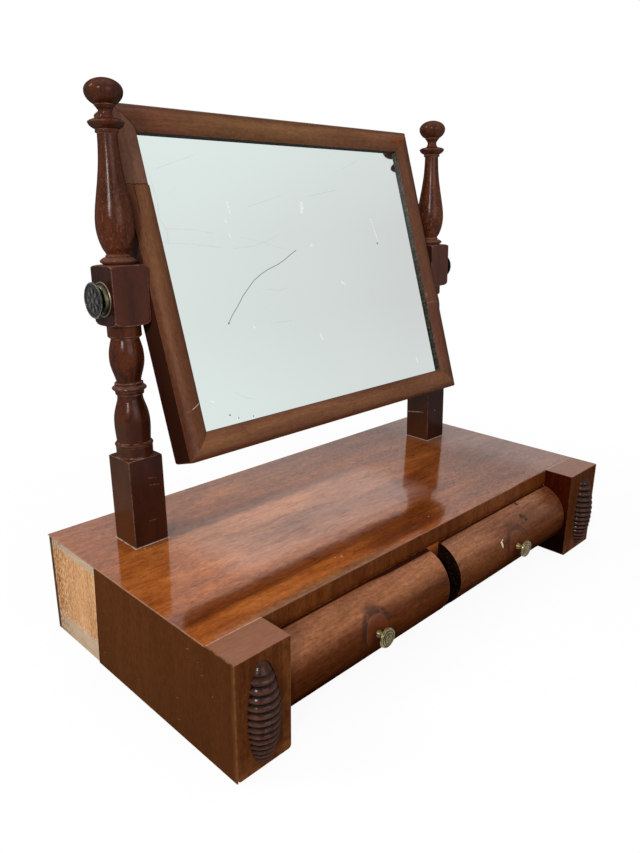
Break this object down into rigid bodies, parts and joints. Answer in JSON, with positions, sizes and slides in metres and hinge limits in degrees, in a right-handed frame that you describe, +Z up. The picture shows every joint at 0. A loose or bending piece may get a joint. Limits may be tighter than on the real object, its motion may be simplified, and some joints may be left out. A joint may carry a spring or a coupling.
{
  "type": "dressing table mirror",
  "caption": "Swinging rectangular mirror between two turned posts on a low veneered case with bow-section drawers and carved corner bosses.",
  "frame": {"origin": "middle of the case's underside, in its width and its depth", "axes": "+X to the right seen from the front, +Y to the back, +Z up; the drawers open towards -Y"},
  "size_m": [0.56, 0.2936, 0.4957],
  "materials": {
    "mahogany": "french polish",
    "dark_mahogany": "french polish",
    "pine": "bare",
    "brass": "aged",
    "bronze": "dark lacquered and rubbed",
    "steel": "plain",
    "silvered_glass": "old silvering"
  },
  "bodies": {
    "case_and_posts": {"top_board": "pine", "top_veneer": "mahogany", "front_rail": "mahogany", "bottom_board": "pine", "bottom_lipping": "dark_mahogany", "left_side": "pine", "right_side": "pine", "left_partition": "pine", "right_partition": "pine", "centre_divider": "mahogany", "back_board": "dark_mahogany", "left_side_veneer": "dark_mahogany", "right_side_veneer": "dark_mahogany", "left_block": "mahogany", "right_block": "mahogany", "left_boss": "dark_mahogany", "right_boss": "dark_mahogany", "drawer_stops": "pine", "left_post": "dark_mahogany", "right_post": "dark_mahogany", "left_pivot_flange": "brass", "right_pivot_flange": "brass", "left_pivot_spacer": "brass", "right_pivot_spacer": "brass"},
    "mirror": {"frame_top_rail": "mahogany", "frame_bottom_rail": "mahogany", "frame_left_stile": "mahogany", "frame_left_splice": "mahogany", "frame_right_stile": "mahogany", "mirror_glass": "silvered_glass", "glazing_slips": "pine", "mirror_backboard": "pine", "backboard_screws": "steel", "left_pivot_plate": "brass", "right_pivot_plate": "brass", "plate_screws": "brass"},
    "left_drawer": {"left_drawer_front": "mahogany", "left_drawer_left_side": "pine", "left_drawer_right_side": "pine", "left_drawer_back": "pine", "left_drawer_bottom": "pine", "left_drawer_knob": "brass", "left_drawer_nut": "brass"},
    "right_drawer": {"right_drawer_front": "mahogany", "right_drawer_left_side": "pine", "right_drawer_right_side": "pine", "right_drawer_back": "pine", "right_drawer_bottom": "pine", "right_drawer_knob": "brass", "right_drawer_nut": "brass"},
    "left_knob": {"left_pivot_knob": "bronze", "left_pivot_screw": "steel"},
    "right_knob": {"right_pivot_knob": "bronze", "right_pivot_screw": "steel"}
  },
  "joints": [
    {"name": "mirror_tilt", "type": "hinge", "parent": "case_and_posts", "child": "mirror", "pos_m": [0, 0.08029, 0.32401], "axis": [1, 0, 0], "continuous": true},
    {"name": "left_drawer_slide", "type": "slide", "parent": "case_and_posts", "child": "left_drawer", "axis": [0, -1, 0], "range_m": [0, 0.17]},
    {"name": "right_drawer_slide", "type": "slide", "parent": "case_and_posts", "child": "right_drawer", "axis": [0, -1, 0], "range_m": [0, 0.17]},
    {"name": "left_knob_turn", "type": "hinge", "parent": "case_and_posts", "child": "left_knob", "pos_m": [-0.2346, 0.08029, 0.32401], "axis": [-1, 0, 0], "range_deg": [0, 360]},
    {"name": "right_knob_turn", "type": "hinge", "parent": "case_and_posts", "child": "right_knob", "pos_m": [0.2359, 0.08029, 0.32401], "axis": [1, 0, 0], "range_deg": [0, 360]}
  ]
}
